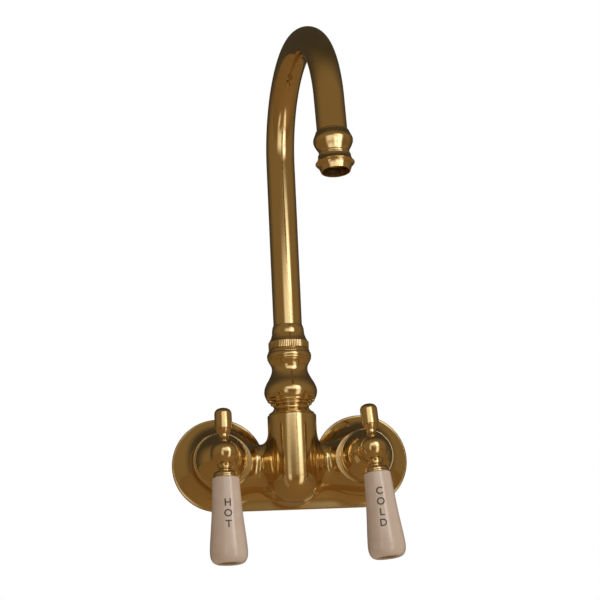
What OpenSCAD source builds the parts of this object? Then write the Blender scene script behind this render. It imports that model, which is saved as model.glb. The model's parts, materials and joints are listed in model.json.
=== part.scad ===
// Wall mounted bath filler: two quarter-turn valves, a baluster column and a swan-neck spout.
// Millimetres. The origin is on the wall face of the flange, midway between the two inlets.
// X runs to the cold side, -Y points out of the wall towards the bather, and Z is up.

/* [Flange and casting] */
// Distance between the centres of the two inlets
inlet_spacing = 85.725; // [84:0.1:100]
// Radius of the round ends of the flange
flange_r = 27.8; // [26:0.1:31]
// Thickness of the flange at its edge
flange_edge = 1.8; // [1.4:0.1:3]
// Radius of the concave sweep from the flange up to a valve chamber
sweep_r = 14; // [12:0.5:18]
// Radius of the concave sweep from the flange's lower edge up to the arms
skirt_r = 21.5; // [21:0.5:24]
// Distance from a valve axis to the sloping edge of the notch
notch_reach = 26.1; // [25:0.1:27.5]
// Slope of the notch edges from the horizontal
notch_slope = 45; // [40:1:50]
// Height of the floor of the notch above the valve axes
notch_floor = 4; // [2:0.5:8]
// Outer radius of a valve chamber
chamber_r = 16.3; // [15.5:0.1:18]
// Distance from the wall to the front of a valve chamber
chamber_front = 27; // [26.5:0.1:31]
// Radius of the arms between the chambers and the column
arm_r = 9; // [8:0.1:10]
// Distance from the wall to the axis of the arms
arm_y = 13; // [12.5:0.1:15]
// Radius of the waterway through the arms
arm_bore_r = 4.5; // [3:0.1:5]
// Distance from the wall to the axis of the waterway in the arms
arm_bore_y = 15.6; // [15:0.1:17]
// Distance from the wall to the axis of the column
column_y = 25.2; // [24.5:0.1:32]
// Radius of the column of the casting
column_r = 14.4; // [13.8:0.1:16]
// Height of the joint between casting and stem above the valve axes
column_top = 25.5; // [24:0.5:40]
// Depth of the centre of the column's round lower end below the valve axes
column_drop = 11; // [9:0.5:12]
// Radius of the waterway inside the column
column_bore_r = 7.5; // [6:0.1:8.5]
// Depth of the two pockets in the back of the casting
pocket_depth = 5; // [2:0.5:6]
// Width of each pocket in the back of the casting
pocket_w = 14; // [8:0.5:16]
// Height of each pocket in the back of the casting
pocket_h = 12; // [8:1:16]
// Width of the rib between the two pockets
rib_w = 6; // [4:0.5:10]

/* [Inlet shanks] */
// Radius of the inlet thread, three-quarter inch pipe
shank_r = 13.2; // [12.8:0.1:13.6]
// Radius of the waterway in a shank
shank_bore_r = 8.5; // [7:0.1:10]
// Length of a shank behind the wall face
shank_len = 45; // [35:1:70]
// Width of the groove that ends the free thread of a shank
shank_groove_w = 1.6; // [1:0.1:3]
// Depth of the shank's thread in the casting
shank_seat = 8.8; // [7:0.1:8.8]
// Thickness of the web between a shank and its valve chamber
web_t = 2.5; // [2.2:0.1:3]
// Radius of the waterway through the web
web_bore_r = 6.5; // [5:0.1:6.8]
// Outer radius of the sealing and backing washers
washer_r = 20; // [18:0.5:22]
// Thickness of the rubber sealing washer, which fills a recess in the back of the flange
seal_washer_t = 2.4; // [1.6:0.1:3]
// Thickness of the stiff backing washer
back_washer_t = 2; // [1:0.5:3]
// Thickness of the wall that the flange is clamped to
wall_t = 8; // [5:0.5:16]
// Distance across the flats of a lock nut
lock_nut_af = 38; // [34:1:42]
// Thickness of a lock nut
lock_nut_t = 8; // [5:0.5:10]

/* [Valve cartridges] */
// Radius of the thread of a cartridge, half inch pipe
cart_thread_r = 10.48; // [10.3:0.02:10.6]
// Radius of the shell of a cartridge below its thread
cart_shell_r = 10; // [9.8:0.1:10.2]
// Radius of the cavity that holds the discs
cart_cavity_r = 9; // [8.8:0.05:9.2]
// Length of the cartridge from its hexagon down to its lower end
cart_depth = 11.4; // [11:0.1:11.5]
// Length of the thread on a cartridge
cart_thread_len = 3.6; // [3:0.1:4]
// Corner radius of the hexagon on a cartridge
cart_hex_r = 11.2; // [10.9:0.1:11.3]
// Thickness of the hexagon on a cartridge
cart_hex_t = 3.6; // [2.5:0.1:4]
// Radius of the nose of a cartridge
cart_nose_r = 6; // [5.6:0.1:6.2]
// Length of the nose of a cartridge
cart_nose_len = 13; // [11:0.5:13.5]
// Thickness of a fixed ceramic disc
fixed_disc_t = 2.4; // [2:0.1:2.6]
// Thickness of a rotating ceramic disc
moving_disc_t = 2.2; // [2:0.1:2.4]
// Inner radius of the waterways in the discs
disc_port_in = 2.4; // [2:0.1:3]
// Outer radius of the waterways in the discs
disc_port_out = 7.2; // [6:0.1:7.4]
// Angle that each of the two waterways in a disc spans
disc_port_angle = 78; // [60:1:80]
// Width of the slot that drives a rotating disc
drive_slot_w = 4; // [3:0.1:5]
// Depth of the slot that drives a rotating disc
drive_slot_d = 1.1; // [0.8:0.1:1.2]
// Radius of the annular chamber around the cartridge windows
annulus_r = 12.2; // [11.5:0.1:12.4]

/* [Spindles and handles] */
// Radius of a spindle's shaft
spindle_r = 4.2; // [3.8:0.1:4.4]
// Radius of the splined end of a spindle
spline_r = 3.9; // [3.4:0.1:4]
// Thickness of a spindle's foot
spindle_foot_t = 1.4; // [1:0.1:1.6]
// Distance from the wall to the centre of a handle's ball
hub_y = 61; // [59:0.5:70]
// Radius of a handle's ball
ball_r = 8.15; // [7.8:0.05:9]
// Radius of the neck behind a handle's ball
hub_neck_r = 5.6; // [5.2:0.1:6]
// Radius of the flat faces above and below the ball
ball_flat_r = 3.9; // [3.6:0.1:4.2]
// Forward lean of the levers
lever_lean = 4.5; // [0:0.5:10]
// Turn of the hot lever from hanging straight down
hot_turn = 0; // [-10:0.5:10]
// Turn of the cold lever from hanging straight down
cold_turn = 4; // [-10:0.5:10]
// Radius of the threaded rod through a lever
rod_r = 2.5; // [2:0.1:2.8]
// Radius of the threaded stud below a finial
stud_r = 2; // [1.5:0.1:2.2]
// Radius of a finial's barrel
finial_r = 5; // [4.5:0.1:6]
// Height of a finial's domed top above the ball's centre
finial_top = 26; // [24:0.5:32]
// Height of the lower edge of a finial's barrel above the ball's centre
finial_barrel = 14; // [13.5:0.5:16]
// Distance from the ball's centre to the end of a ferrule
ferrule_end = 14.6; // [14:0.1:16]
// Largest radius of a ferrule
ferrule_r = 7.3; // [6.8:0.1:7.6]
// Radius of a porcelain lever at its ferrule
lever_top_r = 7.8; // [7.4:0.1:8.6]
// Largest radius of a porcelain lever
lever_big_r = 10.8; // [9:0.1:12]
// Distance from the ball's centre to the widest place of a lever
lever_big_at = 56; // [48:1:70]
// Distance from the widest place of a lever to its flat end
lever_round = 7.8; // [7:0.1:9]
// Radius of the recess in the end of a lever
recess_r = 6; // [5:0.1:6.5]
// Depth of the recess in the end of a lever
recess_d = 3; // [2:0.1:4]
// Radius of an end nut
end_nut_r = 5.4; // [4:0.1:5.8]
// Thickness of an end nut
end_nut_t = 2.6; // [2:0.1:3.2]

/* [Bonnets] */
// Radius of the thread of a bonnet
bonnet_thread_r = 12.7; // [12.5:0.1:13]
// Length of the thread of a bonnet
bonnet_thread_len = 2.8; // [2:0.1:2.9]
// Wall of a bonnet
bonnet_wall = 1.3; // [1:0.1:1.4]
// Radius of the ring at the base of a bonnet
bonnet_base_r = 15.7; // [14:0.1:16]
// Radius of the dome of a bonnet
bonnet_dome_r = 15.2; // [13.5:0.1:15.5]
// Radius of the top of a bonnet
bonnet_top_r = 7.2; // [6.8:0.1:8]
// Distance from the wall to the top of a bonnet
bonnet_top = 49.5; // [48:0.5:50]

/* [Baluster stem and spout nut] */
// Height of the stem from the casting to the spout nut
stem_h = 39; // [38:0.5:55]
// Radius of the stem's foot ring
foot_r = 13.4; // [12.5:0.1:14]
// Radius of the stem's neck
neck_r = 10.4; // [10:0.1:11.5]
// Height of the neck above the casting
neck_z = 4.1; // [3.8:0.1:4.4]
// Radius of the stem's belly
belly_r = 15.7; // [14:0.1:18]
// Height of the belly above the casting
belly_z = 13.6; // [13:0.1:15]
// Radius of the stem's waist
waist_r = 10.6; // [10.2:0.1:11.5]
// Height of the waist above the casting
waist_z = 27.3; // [26:0.1:28]
// Radius of the ring below the spout nut
ring_r = 13.15; // [12.5:0.1:14.5]
// Radius of the stem's lower thread
stem_thread_r = 9.4; // [9:0.1:9.6]
// Length of the stem's lower thread
stem_thread_len = 11; // [8:0.5:12]
// Radius of the waterway in the stem
stem_bore_r = 5.6; // [4.5:0.1:6.4]
// Thickness of the seal below the stem
stem_seal_t = 1.5; // [1:0.1:2]
// Radius of the thread under the spout nut
nut_thread_r = 10.75; // [10.7:0.05:10.9]
// Height of the thread under the spout nut
nut_thread_h = 4.6; // [4:0.1:5]
// Radius of the knurled band of the spout nut
nut_r = 11.9; // [11.8:0.1:12.6]
// Height of the spout nut
nut_h = 15; // [14:0.1:18]
// Radius of the collar at the top of the spout nut
nut_collar_r = 9.7; // [9.6:0.1:10.4]
// Number of grooves in the knurled band
knurl_count = 72; // [24:1:90]

/* [Spout] */
// Radius of the spout tube
tube_r = 8.5; // [8.3:0.05:8.6]
// Wall of the spout tube
tube_wall = 1; // [0.8:0.1:1.4]
// Height of the start of the bend above the valve axes
bend_z = 178; // [110:1:260]
// Radius of the bend along the tube's centre
bend_r = 57; // [35:1:90]
// Angle that the bend turns through
bend_angle = 171.7; // [150:0.1:180]
// Straight length of tube after the bend
tip_len = 20.5; // [14:0.5:60]
// Turn of the spout from straight out of the wall
spout_turn = 9; // [-60:1:60]
// Radius of the retaining collar on the spout
collar_r = 9.5; // [9.4:0.05:9.6]
// Thickness of the retaining collar
collar_t = 2.2; // [1.5:0.1:2.6]
// Radius of the spigot below the collar
spigot_r = 7.4; // [7:0.1:7.6]
// Length of the spigot below the collar
spigot_len = 16; // [14:0.5:18]
// Thickness of the bearing ring above the collar
bearing_t = 1.8; // [1.2:0.1:2]

/* [Outlet] */
// Radius of the outlet's bulb
bulb_r = 11.05; // [10.5:0.05:13]
// Radius of the outlet's neck
outlet_neck_r = 8.15; // [8:0.05:9.2]
// Radius of the waterway through the outlet's neck
outlet_bore_r = 7; // [5:0.1:7.2]
// Radius of the outlet's sharp lip
lip_r = 10.9; // [10.2:0.1:13]
// Outer radius of the outlet's mouth
mouth_r = 8.3; // [8.2:0.1:9]
// Radius of the bore of the outlet's mouth
mouth_bore_r = 7.65; // [7.3:0.05:7.8]
// Depth of the bore of the outlet's mouth
mouth_depth = 6; // [3:0.5:7]
// Length of the outlet fitting
outlet_len = 23.8; // [21:0.1:30]
// Depth of the socket that the tube is brazed into
outlet_socket = 8; // [5:0.5:9]

/* [Clearances] */
// Radial room between threads that are screwed together
thread_gap = 0.05; // [0.02:0.01:0.1]
// Radial room where a piece turns in another
running_gap = 0.08; // [0.04:0.01:0.1]
// Radial room where a tube is brazed into its socket
braze_gap = 0.04; // [0.02:0.01:0.08]
// Room that keeps a turning piece off a fixed face
face_gap = 0.3; // [0.2:0.05:0.5]
// Radial room of the washers around a shank
washer_gap = 0.4; // [0.2:0.1:0.8]

/* [Hidden] */
$fn = 96;

hot = -1;
cold = 1;
brass = [0.78, 0.60, 0.28];
bare_brass = [0.70, 0.58, 0.36];
porcelain = [0.87, 0.80, 0.73];
rubber = [0.12, 0.12, 0.13];
ceramic = [0.93, 0.93, 0.90];
nylon = [0.88, 0.87, 0.82];
steel = [0.72, 0.73, 0.74];

inlet_x = inlet_spacing / 2;
past = 1;
// The concave sweep starts at the flange edge and meets the chamber wall here
sweep_top = flange_edge + sqrt(pow(sweep_r, 2) - pow(chamber_r + sweep_r - flange_r, 2));
// The straight sweeps start this far in from the edge of the flange
edge_step = 0.3;
// The rear face of a lock nut, measured behind the wall face
nut_back_y = wall_t + back_washer_t + lock_nut_t;
// Wall between the pockets and the floor of the notch
pocket_wall = 2;
// Levels inside a valve, measured out of the wall
seat_y = shank_seat + web_t;
seal_t = 1.2;
disc_y = seat_y + seal_t;
moving_disc_y = disc_y + fixed_disc_t;
foot_y = moving_disc_y + moving_disc_t;
hex_y = disc_y + cart_depth;
ceiling_y = foot_y + 2.9;
nose_end = hex_y + cart_hex_t + cart_nose_len;
clip_t = 0.8;
spindle_end = hub_y + 3;
ball_flat = sqrt(pow(ball_r, 2) - pow(ball_flat_r, 2));
hub_neck_end = bonnet_top + face_gap;
spline_points = 12;
o_ring_gap = 0.01;
spindle_bore_r = spindle_r + running_gap;
spindle_ring_r = 0.6;
spindle_groove_r = spindle_bore_r - 2 * (spindle_ring_r + o_ring_gap);
spindle_rings = [hex_y + 2.5, hex_y + 6];
groove_room = 0.3;
// Levels along a lever, measured from the ball's centre
lever_start = ferrule_end;
lever_end = lever_big_at + lever_round;
rod_start = spline_r + 0.6;
nut_seat = lever_end - recess_d;
rod_end = nut_seat + end_nut_t - 0.6;
// Levels of the stem and the spout joint above the valve axes
thread_top = column_top + stem_h + nut_thread_h;
bearing_z = thread_top - bearing_t;
collar_z = bearing_z - collar_t;
tube_start = bearing_z;
spigot_bore_r = spigot_r + running_gap;
spigot_end = collar_z - spigot_len;
spigot_ring_r = 0.7;
spigot_groove_r = spigot_bore_r - 2 * (spigot_ring_r + o_ring_gap);
spigot_rings = [collar_z - 5.5, collar_z - 10.5];
nut_z = column_top + stem_h + face_gap;
bend_end_y = -bend_r + bend_r * cos(bend_angle);
bend_end_z = bend_z + bend_r * sin(bend_angle);
lap = 0.5;
lap_step = 0.01;

// Points along a bowed line from p to q: a positive bow swells to the right of the way taken
function bow(p, q, swell, n = 6) =
    let (d = q - p, c = (p + q) / 2 + 2 * swell * [d[1], -d[0]] / norm(d))
    [for (i = [1:n]) let (t = i / n) pow(1 - t, 2) * p + 2 * t * (1 - t) * c + pow(t, 2) * q];

module along_valve(side) {
    translate([side * inlet_x, 0, 0]) rotate([90, 0, 0]) children();
}

function turn_of(side) = side == hot ? hot_turn : cold_turn;

module on_handle(side) {
    along_valve(side) rotate([0, 0, turn_of(side)]) children();
}

module along_lever(side) {
    on_handle(side) translate([0, 0, hub_y]) rotate([90 - lever_lean, 0, 0]) children();
}

module at_column() {
    translate([0, -column_y, 0]) children();
}

module on_spout() {
    at_column() rotate([0, 0, spout_turn]) children();
}

module along_outlet() {
    on_spout() translate([0, bend_end_y, bend_end_z]) rotate([bend_angle, 0, 0]) children();
}

module ring(r_out, r_in, h) {
    difference() {
        cylinder(r = r_out, h = h);
        translate([0, 0, -past]) cylinder(r = r_in, h = h + 2 * past);
    }
}

module torus(r, section) {
    rotate_extrude() translate([r, 0]) circle(r = section, $fn = 32);
}

// Flange and chamber in section: radius across, distance out of the wall upwards
module chamber_section(reach, front) {
    difference() {
        square([reach, front]);
        translate([chamber_r + sweep_r, sweep_top]) circle(r = sweep_r);
        translate([chamber_r, sweep_top]) square([reach, front]);
    }
}

// Outline of the flange seen from the front, two round ends joined by a straight lower edge
module flange_outline() {
    edge_x = inlet_x - notch_reach * sin(notch_slope);
    edge_z = notch_reach * cos(notch_slope);
    floor_x = inlet_x - (notch_reach - notch_floor * cos(notch_slope)) / sin(notch_slope);
    for (side = [hot, cold]) translate([side * inlet_x, 0]) circle(r = flange_r);
    polygon([[-inlet_x, -flange_r], [inlet_x, -flange_r], [inlet_x, 0], [edge_x, edge_z],
        [floor_x, notch_floor], [-floor_x, notch_floor], [-edge_x, edge_z], [-inlet_x, 0]]);
}

// Lower skirt in section, from the flange's lower edge up into the round of the arms
module skirt_section() {
    inside_arm = 2;
    difference() {
        translate([edge_step - flange_r, 0]) square([flange_r - edge_step, arm_y + inside_arm]);
        translate([-flange_r, flange_edge - edge_step + skirt_r]) circle(r = skirt_r);
    }
}

module notch_sweep(side) {
    run = (inlet_x - notch_reach * sin(notch_slope)) / cos(notch_slope);
    mirror([side == cold ? 1 : 0, 0, 0]) intersection() {
        translate([-inlet_x, 0, 0]) rotate([0, notch_slope, 0]) rotate([0, -90, 180])
            linear_extrude(run) chamber_section(notch_reach - edge_step, arm_y);
        translate([-inlet_x, -arm_y, 0]) cube([inlet_x, arm_y, flange_r]);
    }
}

module casting_solid() {
    rotate([90, 0, 0]) linear_extrude(flange_edge) flange_outline();
    for (side = [hot, cold])
        along_valve(side) rotate_extrude() chamber_section(flange_r, chamber_front);
    for (side = [hot, cold]) notch_sweep(side);
    translate([-inlet_x, 0, 0]) rotate([0, -90, 180]) linear_extrude(inlet_spacing)
        skirt_section();
    translate([-inlet_x, -arm_y, 0]) rotate([0, 90, 0]) cylinder(r = arm_r, h = inlet_spacing);
    at_column() {
        translate([0, 0, -column_drop]) {
            cylinder(r = column_r, h = column_drop + column_top);
            sphere(r = column_r);
        }
    }
    rotate([90, 0, 0]) linear_extrude(column_y) {
        translate([0, -column_drop]) circle(r = column_r);
        translate([-column_r, -column_drop]) square([2 * column_r, column_drop + notch_floor]);
    }
}

module body_casting() {
    stem_hole = stem_thread_len + stem_seal_t;
    color(brass) difference() {
        casting_solid();
        for (side = [hot, cold]) along_valve(side) {
            translate([0, 0, -past]) cylinder(r = shank_r + thread_gap, h = shank_seat + past);
            translate([0, 0, -past]) cylinder(r = washer_r + washer_gap, h = seal_washer_t + past);
            cylinder(r = web_bore_r, h = seat_y + past);
            translate([0, 0, seat_y])
                cylinder(r = cart_thread_r + thread_gap, h = chamber_front);
            translate([0, 0, disc_y]) cylinder(r = annulus_r, h = hex_y - cart_thread_len - disc_y);
            translate([0, 0, hex_y]) cylinder(r = bonnet_thread_r + thread_gap, h = chamber_front);
        }
        translate([-inlet_x, -arm_bore_y, 0]) rotate([0, 90, 0])
            cylinder(r = arm_bore_r, h = inlet_spacing);
        at_column() {
            translate([0, 0, column_top - stem_hole])
                cylinder(r = stem_thread_r + thread_gap, h = stem_hole + past);
            translate([0, 0, -column_drop]) cylinder(r = column_bore_r, h = column_drop + column_top);
            translate([0, 0, -column_drop]) sphere(r = column_bore_r);
            rotate([-90, 0, 0]) cylinder(r = arm_bore_r, h = column_y - arm_bore_y);
        }
        for (side = [hot, cold])
            translate([side * (rib_w + pocket_w) / 2, 0, notch_floor - pocket_wall - pocket_h / 2])
            cube([pocket_w, 2 * pocket_depth, pocket_h], center = true);
    }
}

module inlet_shank(side) {
    groove_depth = 0.8;
    color(bare_brass) along_valve(side) difference() {
        translate([0, 0, -shank_len]) ring(shank_r, shank_bore_r, shank_len + shank_seat);
        translate([0, 0, -nut_back_y - shank_groove_w])
            ring(shank_r + past, shank_r - groove_depth, shank_groove_w);
    }
}

module sealing_washer(side) {
    color(rubber) along_valve(side) ring(washer_r, shank_r + washer_gap, seal_washer_t);
}

module backing_washer(side) {
    color(nylon) along_valve(side) translate([0, 0, -wall_t - back_washer_t])
        ring(washer_r, shank_r + washer_gap, back_washer_t);
}

module lock_nut(side) {
    color(bare_brass) along_valve(side) translate([0, 0, -nut_back_y]) difference() {
        rotate([0, 0, 30]) cylinder(r = lock_nut_af / 2 / cos(30), h = lock_nut_t, $fn = 6);
        translate([0, 0, -past]) cylinder(r = shank_r + thread_gap, h = lock_nut_t + 2 * past);
    }
}

module cartridge_body(side) {
    window_w = 9;
    color(bare_brass) along_valve(side) difference() {
        union() {
            translate([0, 0, disc_y]) cylinder(r = cart_shell_r, h = cart_depth);
            translate([0, 0, hex_y - cart_thread_len])
                cylinder(r = cart_thread_r, h = cart_thread_len);
            translate([0, 0, hex_y]) cylinder(r = cart_hex_r, h = cart_hex_t, $fn = 6);
            translate([0, 0, hex_y]) cylinder(r = cart_nose_r, h = cart_hex_t + cart_nose_len);
        }
        translate([0, 0, disc_y - past]) cylinder(r = cart_cavity_r, h = ceiling_y - disc_y + past);
        translate([0, 0, disc_y]) cylinder(r = spindle_bore_r, h = nose_end);
        translate([-cart_shell_r - past, -window_w / 2, foot_y])
            cube([2 * (cart_shell_r + past), window_w, ceiling_y - foot_y - face_gap]);
    }
}

module seat_seal(side) {
    color(rubber) along_valve(side) translate([0, 0, seat_y])
        ring(cart_cavity_r - thread_gap, web_bore_r + thread_gap, seal_t);
}

// Two opposite openings of a disc, centred on the X axis and turned by an angle
module disc_ports(turn) {
    for (half = [0, 180]) rotate(half + turn)
        polygon([for (i = [-4:4]) disc_port_out
            * [cos(i * disc_port_angle / 8), sin(i * disc_port_angle / 8)],
            for (i = [4:-1:-4]) disc_port_in
            * [cos(i * disc_port_angle / 8), sin(i * disc_port_angle / 8)]]);
}

module fixed_disc(side) {
    color(ceramic) along_valve(side) translate([0, 0, disc_y]) linear_extrude(fixed_disc_t)
        difference() {
            circle(r = cart_cavity_r - thread_gap);
            disc_ports(0);
        }
}

module rotating_disc(side) {
    color(ceramic) on_handle(side) translate([0, 0, moving_disc_y]) difference() {
        linear_extrude(moving_disc_t) difference() {
            circle(r = cart_cavity_r - face_gap);
            disc_ports(90);
        }
        translate([-cart_cavity_r, -drive_slot_w / 2, moving_disc_t - drive_slot_d])
            cube([2 * cart_cavity_r, drive_slot_w, drive_slot_d + past]);
    }
}

module spindle(side) {
    foot_r = cart_cavity_r - 2 * face_gap;
    shoulder_r = spindle_r + 1.6;
    shoulder_t = 1;
    tongue_w = drive_slot_w - 2 * running_gap;
    color(bare_brass) on_handle(side) difference() {
        union() {
            translate([0, 0, foot_y]) intersection() {
                cylinder(r = foot_r, h = spindle_foot_t);
                translate([-foot_r, -drive_slot_w, 0])
                    cube([2 * foot_r, 2 * drive_slot_w, spindle_foot_t]);
            }
            translate([0, 0, foot_y - drive_slot_d + running_gap]) intersection() {
                cylinder(r = foot_r, h = drive_slot_d);
                translate([-foot_r, -tongue_w / 2, 0]) cube([2 * foot_r, tongue_w, drive_slot_d]);
            }
            translate([0, 0, ceiling_y - face_gap - shoulder_t])
                cylinder(r = shoulder_r, h = shoulder_t);
            translate([0, 0, foot_y]) cylinder(r = spindle_r, h = nose_end + 1.6 - foot_y);
            translate([0, 0, foot_y])
                cylinder(r = spline_r, h = spindle_end - foot_y, $fn = spline_points);
        }
        for (level = spindle_rings) translate([0, 0, level - spindle_ring_r - groove_room])
            ring(spindle_r + past, spindle_groove_r, 2 * (spindle_ring_r + groove_room));
        translate([0, 0, nose_end + face_gap / 2])
            ring(spindle_r + past, spindle_groove_r, clip_t + running_gap);
    }
}

module spindle_o_rings(side) {
    middle = (spindle_groove_r + spindle_bore_r) / 2;
    color(rubber) on_handle(side)
        for (level = spindle_rings) translate([0, 0, level]) torus(middle, spindle_ring_r);
}

module spindle_clip(side) {
    clip_r = cart_nose_r - 0.4;
    color(steel) on_handle(side) translate([0, 0, nose_end + face_gap / 2 + running_gap / 2])
        difference() {
            cylinder(r = clip_r, h = clip_t);
            translate([0, 0, -past]) cylinder(r = spindle_groove_r + o_ring_gap, h = clip_t + 2 * past);
            translate([0, -spindle_groove_r * 0.8, -past])
                cube([clip_r + past, spindle_groove_r * 1.6, clip_t + 2 * past]);
        }
}

module bonnet(side) {
    base_top = chamber_front + 1.3;
    inner_r = bonnet_thread_r - bonnet_wall;
    dome_in = bonnet_dome_r - bonnet_wall;
    dome_end = chamber_front + 16.5;
    roof = nose_end + face_gap;
    color(brass) along_valve(side) rotate_extrude() polygon(concat(
        [[inner_r, chamber_front - bonnet_thread_len],
            [bonnet_thread_r, chamber_front - bonnet_thread_len],
            [bonnet_thread_r, chamber_front], [bonnet_base_r, chamber_front],
            [bonnet_base_r, base_top], [bonnet_dome_r, base_top + 0.5]],
        bow([bonnet_dome_r, base_top + 0.5], [bonnet_top_r, dome_end], 2.3, 10),
        [[bonnet_top_r, bonnet_top], [hub_neck_r + face_gap, bonnet_top],
            [hub_neck_r + face_gap, roof], [cart_nose_r + face_gap, roof]],
        bow([cart_nose_r + face_gap, roof], [dome_in, base_top + 1], -1.6, 8),
        [[inner_r, base_top]]));
}

module handle_hub(side) {
    color(brass) difference() {
        union() {
            on_handle(side) translate([0, 0, hub_neck_end])
                cylinder(r = hub_neck_r, h = hub_y - hub_neck_end);
            along_lever(side) intersection() {
                sphere(r = ball_r);
                translate([0, 0, -ball_flat]) cylinder(r = ball_r + past, h = 2 * ball_flat);
            }
        }
        on_handle(side) translate([0, 0, hub_neck_end - past])
            cylinder(r = spline_r + braze_gap, h = spindle_end + past + face_gap - hub_neck_end,
                $fn = spline_points);
        along_lever(side) cylinder(r = rod_r + thread_gap, h = ball_r + past);
        along_lever(side) translate([0, 0, -ball_r - past])
            cylinder(r = stud_r + thread_gap, h = ball_r + past);
    }
}

module finial(side) {
    bead_r = 4.4;
    neck_top = 10.8;
    finial_neck_r = 2.9;
    color(brass) along_lever(side) mirror([0, 0, 1]) {
        rotate_extrude() polygon(concat(
            [[0, ball_flat], [ball_flat_r - 0.1, ball_flat]],
            bow([ball_flat_r - 0.1, ball_flat], [finial_neck_r, ball_flat + 2.2], -0.3, 4),
            bow([finial_neck_r, neck_top], [bead_r, finial_barrel - 0.3], 0.2, 5),
            [[finial_r, finial_barrel + 0.2], [finial_r, finial_top - 3.4]],
            bow([finial_r, finial_top - 3.4], [0, finial_top], 1.6, 8)));
        translate([0, 0, spline_r + 0.2])
            cylinder(r = stud_r, h = finial_barrel - spline_r - 0.2);
    }
}

module ferrule(side) {
    neck_end = 9.3;
    groove_low = 9.9;
    groove_high = 10.8;
    bead_top = 13.9;
    ferrule_neck_r = 4.5;
    groove_r = 3.4;
    color(brass) along_lever(side) rotate_extrude() polygon(concat(
        [[rod_r + thread_gap, ball_flat], [ball_flat_r, ball_flat]],
        [[ferrule_neck_r, ball_flat + 0.5], [ferrule_neck_r - 0.1, 0.5 * (ball_flat + neck_end)],
            [ferrule_neck_r, neck_end], [groove_r, groove_low], [groove_r, groove_high],
            [ferrule_r - 2, groove_high + 0.2]],
        bow([ferrule_r - 2, groove_high + 0.2], [ferrule_r, bead_top], 0.5, 5),
        [[ferrule_r, ferrule_end], [rod_r + thread_gap, ferrule_end]]));
}

module porcelain_lever(side) {
    shoulder = 1.1;
    color(porcelain) along_lever(side) difference() {
        rotate_extrude() polygon(concat(
            [[0, lever_start], [lever_top_r - shoulder, lever_start]],
            bow([lever_top_r - shoulder, lever_start],
                [lever_top_r, lever_start + shoulder], 0.25, 4),
            bow([lever_top_r, lever_start + shoulder], [lever_big_r, lever_big_at], 0.35, 8),
            bow([lever_big_r, lever_big_at], [lever_big_r - 4, lever_end], 1.9, 8),
            [[0, lever_end]]));
        translate([0, 0, lever_start - past])
            cylinder(r = rod_r + washer_gap, h = lever_end - lever_start);
        translate([0, 0, lever_end - recess_d]) cylinder(r = recess_r, h = recess_d + past);
    }
}

module lever_rod(side) {
    color(bare_brass) along_lever(side) translate([0, 0, rod_start])
        cylinder(r = rod_r, h = rod_end - rod_start);
}

module end_nut(side) {
    color(brass) along_lever(side) translate([0, 0, nut_seat]) difference() {
        union() {
            cylinder(r = end_nut_r, h = end_nut_t * 0.6);
            translate([0, 0, end_nut_t * 0.6])
                cylinder(r1 = end_nut_r, r2 = end_nut_r * 0.7, h = end_nut_t * 0.4);
        }
        translate([0, 0, -past]) cylinder(r = rod_r + thread_gap, h = past + rod_end - nut_seat);
        translate([-end_nut_r, -0.6, end_nut_t - 0.5]) cube([2 * end_nut_r, 1.2, 1]);
    }
}

module baluster_stem() {
    foot_z = 2.2;
    low_bead = [12.2, 6.9];
    high_bead = [14.2, 9];
    ring_top = stem_h - 1.2;
    ring_low = ring_top - 6.6;
    shoulder_r = nut_r + 0.1;
    color(brass) at_column() difference() {
        translate([0, 0, column_top]) union() {
            rotate_extrude() polygon(concat(
                [[0, 0], [foot_r, 0], [foot_r, 0.9]],
                bow([foot_r, 0.9], [neck_r + 0.7, foot_z + 0.7], 0.35, 4),
                bow([neck_r + 0.7, foot_z + 0.7], [neck_r, neck_z], -0.15, 3),
                bow([neck_r, neck_z], [low_bead[0] - 0.6, low_bead[1] - 1], -0.2, 3),
                bow([low_bead[0] - 0.6, low_bead[1] - 1], [low_bead[0], low_bead[1]], 0.35, 4),
                bow([low_bead[0], low_bead[1]], [high_bead[0] - 0.3, high_bead[1] - 0.7], -0.3, 3),
                bow([high_bead[0] - 0.3, high_bead[1] - 0.7], high_bead, 0.25, 3),
                bow(high_bead, [belly_r, belly_z], 0.55, 5),
                bow([belly_r, belly_z], [(belly_r + waist_r) / 2, belly_z + 6.6], 0.75, 6),
                bow([(belly_r + waist_r) / 2, belly_z + 6.6], [waist_r, waist_z], -0.65, 6),
                bow([waist_r, waist_z], [ring_r - 1, ring_low + 1.6], -0.75, 6),
                bow([ring_r - 1, ring_low + 1.6], [ring_r - 0.2, ring_low + 3.2], 0.15, 3),
                bow([ring_r - 0.2, ring_low + 3.2], [shoulder_r, ring_top], 0.5, 6),
                [[shoulder_r, stem_h], [0, stem_h]]));
            translate([0, 0, stem_h]) cylinder(r = nut_thread_r, h = nut_thread_h);
            translate([0, 0, -stem_thread_len]) cylinder(r = stem_thread_r, h = stem_thread_len);
        }
        translate([0, 0, column_top - stem_thread_len - past])
            cylinder(r = stem_bore_r, h = thread_top);
        translate([0, 0, spigot_end - 1]) cylinder(r = spigot_bore_r, h = thread_top);
        translate([0, 0, collar_z]) cylinder(r = collar_r + running_gap, h = thread_top);
    }
}

module stem_seal() {
    color(rubber) at_column() translate([0, 0, column_top - stem_thread_len - stem_seal_t])
        ring(stem_thread_r - thread_gap, column_bore_r + thread_gap, stem_seal_t);
}

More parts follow.
